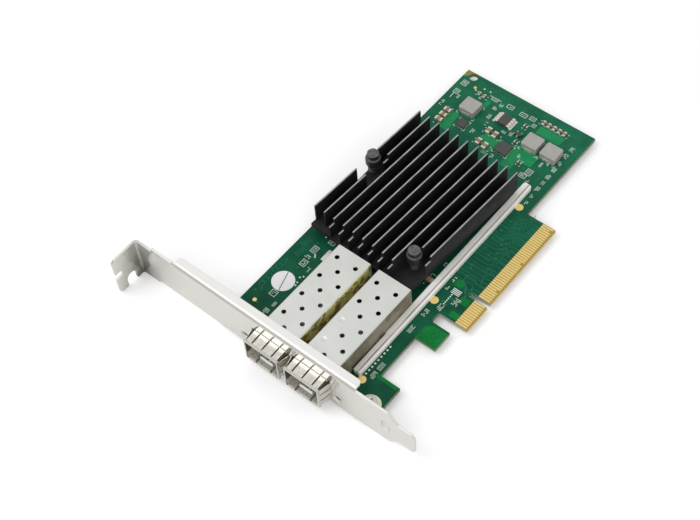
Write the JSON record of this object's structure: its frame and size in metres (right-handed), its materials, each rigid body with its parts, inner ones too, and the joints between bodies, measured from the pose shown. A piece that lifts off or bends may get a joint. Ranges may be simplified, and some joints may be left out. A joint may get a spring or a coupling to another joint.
{
  "type": "network interface card",
  "caption": "Low expansion card with a folded steel bracket, twin pluggable module ports, a finned heat sink and a gold edge connector.",
  "frame": {"origin": "centre of the key notch of the edge connector, at the tips of its contacts, on the middle plane of the circuit board", "axes": "+X along the board away from the bracket, +Y from the edge connector towards the screw tab, +Z out of the component side of the board"},
  "size_m": [0.1521, 0.1201, 0.0195],
  "materials": {
    "solder_mask": "dark green lacquered laminate",
    "contact_gold": "gold plated copper",
    "nickel_plate": "bright nickel-plated steel sheet",
    "zinc_plate": "zinc-plated steel",
    "chip_green": "laminate chip base",
    "chip_black": "moulded epoxy",
    "pad_grey": "soft heat-conducting pad",
    "black_anodised": "black anodised aluminium with bare cut tips",
    "satin_bar": "satin drawn aluminium",
    "tin_plate": "tin-plated ends and leads",
    "ceramic_brown": "fired ceramic",
    "label_paper": "plain round paper label",
    "cage_metal": "satin tinned steel sheet",
    "collar_metal": "sprung tinned sheet",
    "black_nylon": "moulded black nylon",
    "clear_lens": "milky light housing",
    "pin_plastic": "dark grey nylon",
    "spring_steel": "spring wire",
    "ferrite_grey": "pressed iron powder, grey"
  },
  "bodies": {
    "root": {"back_capacitor_bodies": "ceramic_brown", "back_capacitor_end_caps": "tin_plate", "bracket_nuts": "zinc_plate", "bracket_screws": "zinc_plate", "capacitor_bodies": "ceramic_brown", "capacitor_end_caps": "tin_plate", "circuit_board": "solder_mask", "clock_crystal": "tin_plate", "controller_lid": "chip_black", "controller_substrate": "chip_green", "edge_contacts_bottom": "contact_gold", "edge_contacts_top": "contact_gold", "heat_sink": "black_anodised", "inductor_terminals": "tin_plate", "inspection_label": "label_paper", "memory_chip": "chip_black", "memory_chip_leads": "tin_plate", "mounting_bracket": "nickel_plate", "pin_spring_1": "spring_steel", "pin_spring_2": "spring_steel", "plated_pads": "contact_gold", "port_1_cage_base": "cage_metal", "port_1_cage_cover": "cage_metal", "port_1_connector": "black_nylon", "port_1_contacts": "contact_gold", "port_1_spring_collar": "collar_metal", "port_2_cage_base": "cage_metal", "port_2_cage_cover": "cage_metal", "port_2_connector": "black_nylon", "port_2_contacts": "contact_gold", "port_2_spring_collar": "collar_metal", "power_inductor_1": "ferrite_grey", "power_inductor_2": "ferrite_grey", "power_inductor_3": "ferrite_grey", "push_pin_1": "pin_plastic", "push_pin_2": "pin_plastic", "regulator_1": "chip_black", "regulator_2": "chip_black", "regulator_terminals": "tin_plate", "resistor_bodies": "chip_black", "resistor_end_caps": "tin_plate", "status_light_1": "clear_lens", "status_light_2": "clear_lens", "stiffener_bar": "satin_bar", "thermal_pad": "pad_grey", "transistor": "chip_black", "transistor_leads": "tin_plate"}
  },
  "joints": []
}
